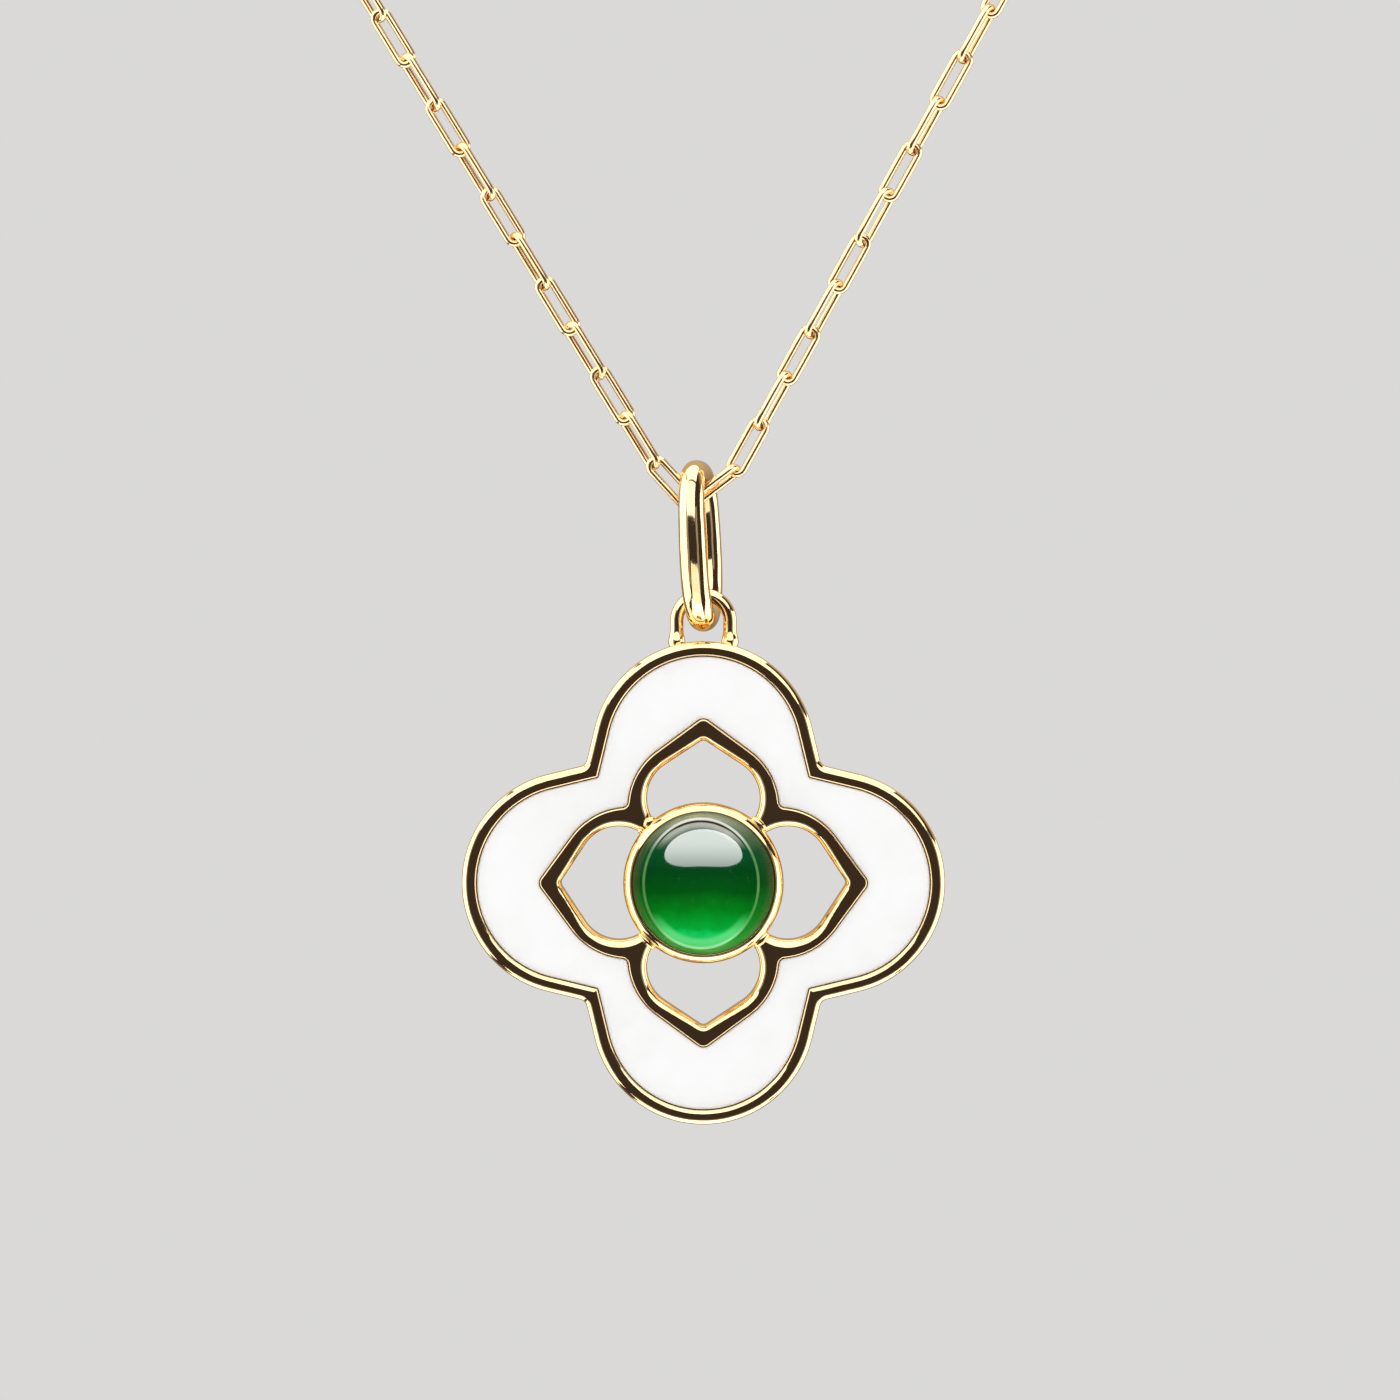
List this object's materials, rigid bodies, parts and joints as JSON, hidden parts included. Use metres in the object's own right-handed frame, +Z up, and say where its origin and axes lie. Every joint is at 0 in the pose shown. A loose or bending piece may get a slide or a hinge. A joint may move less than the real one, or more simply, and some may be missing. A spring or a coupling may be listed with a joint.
{
  "type": "jadeite pendant necklace",
  "caption": "Quatrefoil pendant with pierced pointed petals round a green cabochon, hung by an oval bail on a fine paperclip chain necklace.",
  "frame": {"origin": "where the neck carries the necklace: the underside of the clasp, at the top of the chain's loop", "axes": "+Z up, the front of the pendant faces -Y, +X to the right as seen from the front"},
  "size_m": [0.1135, 0.0044, 0.185],
  "materials": {
    "setting_gold": "polished 18 ct yellow gold",
    "inlay_white": "even white, satin gloss",
    "jade_green": "translucent emerald green jadeite, high polish",
    "bail_gold": "polished 18 ct yellow gold",
    "chain_gold": "polished 18 ct gold wire",
    "clasp_gold": "polished 18 ct yellow gold"
  },
  "bodies": {
    "necklace": {"chain": "chain_gold", "clasp": "clasp_gold"},
    "bail_body": {"bail": "bail_gold"},
    "pendant": {"gold_setting": "setting_gold", "white_inlay": "inlay_white", "jade_cabochon": "jade_green"}
  },
  "joints": [
    {"name": "bail_swing", "type": "hinge", "parent": "necklace", "child": "bail_body", "pos_m": [-0.00024, 0, -0.15957], "axis": [1, 0, 0], "range_deg": [-60, 60]},
    {"name": "pendant_swing", "type": "hinge", "parent": "bail_body", "child": "pendant", "pos_m": [0, 0, -0.1638], "axis": [0, 1, 0], "range_deg": [-60, 60]}
  ]
}
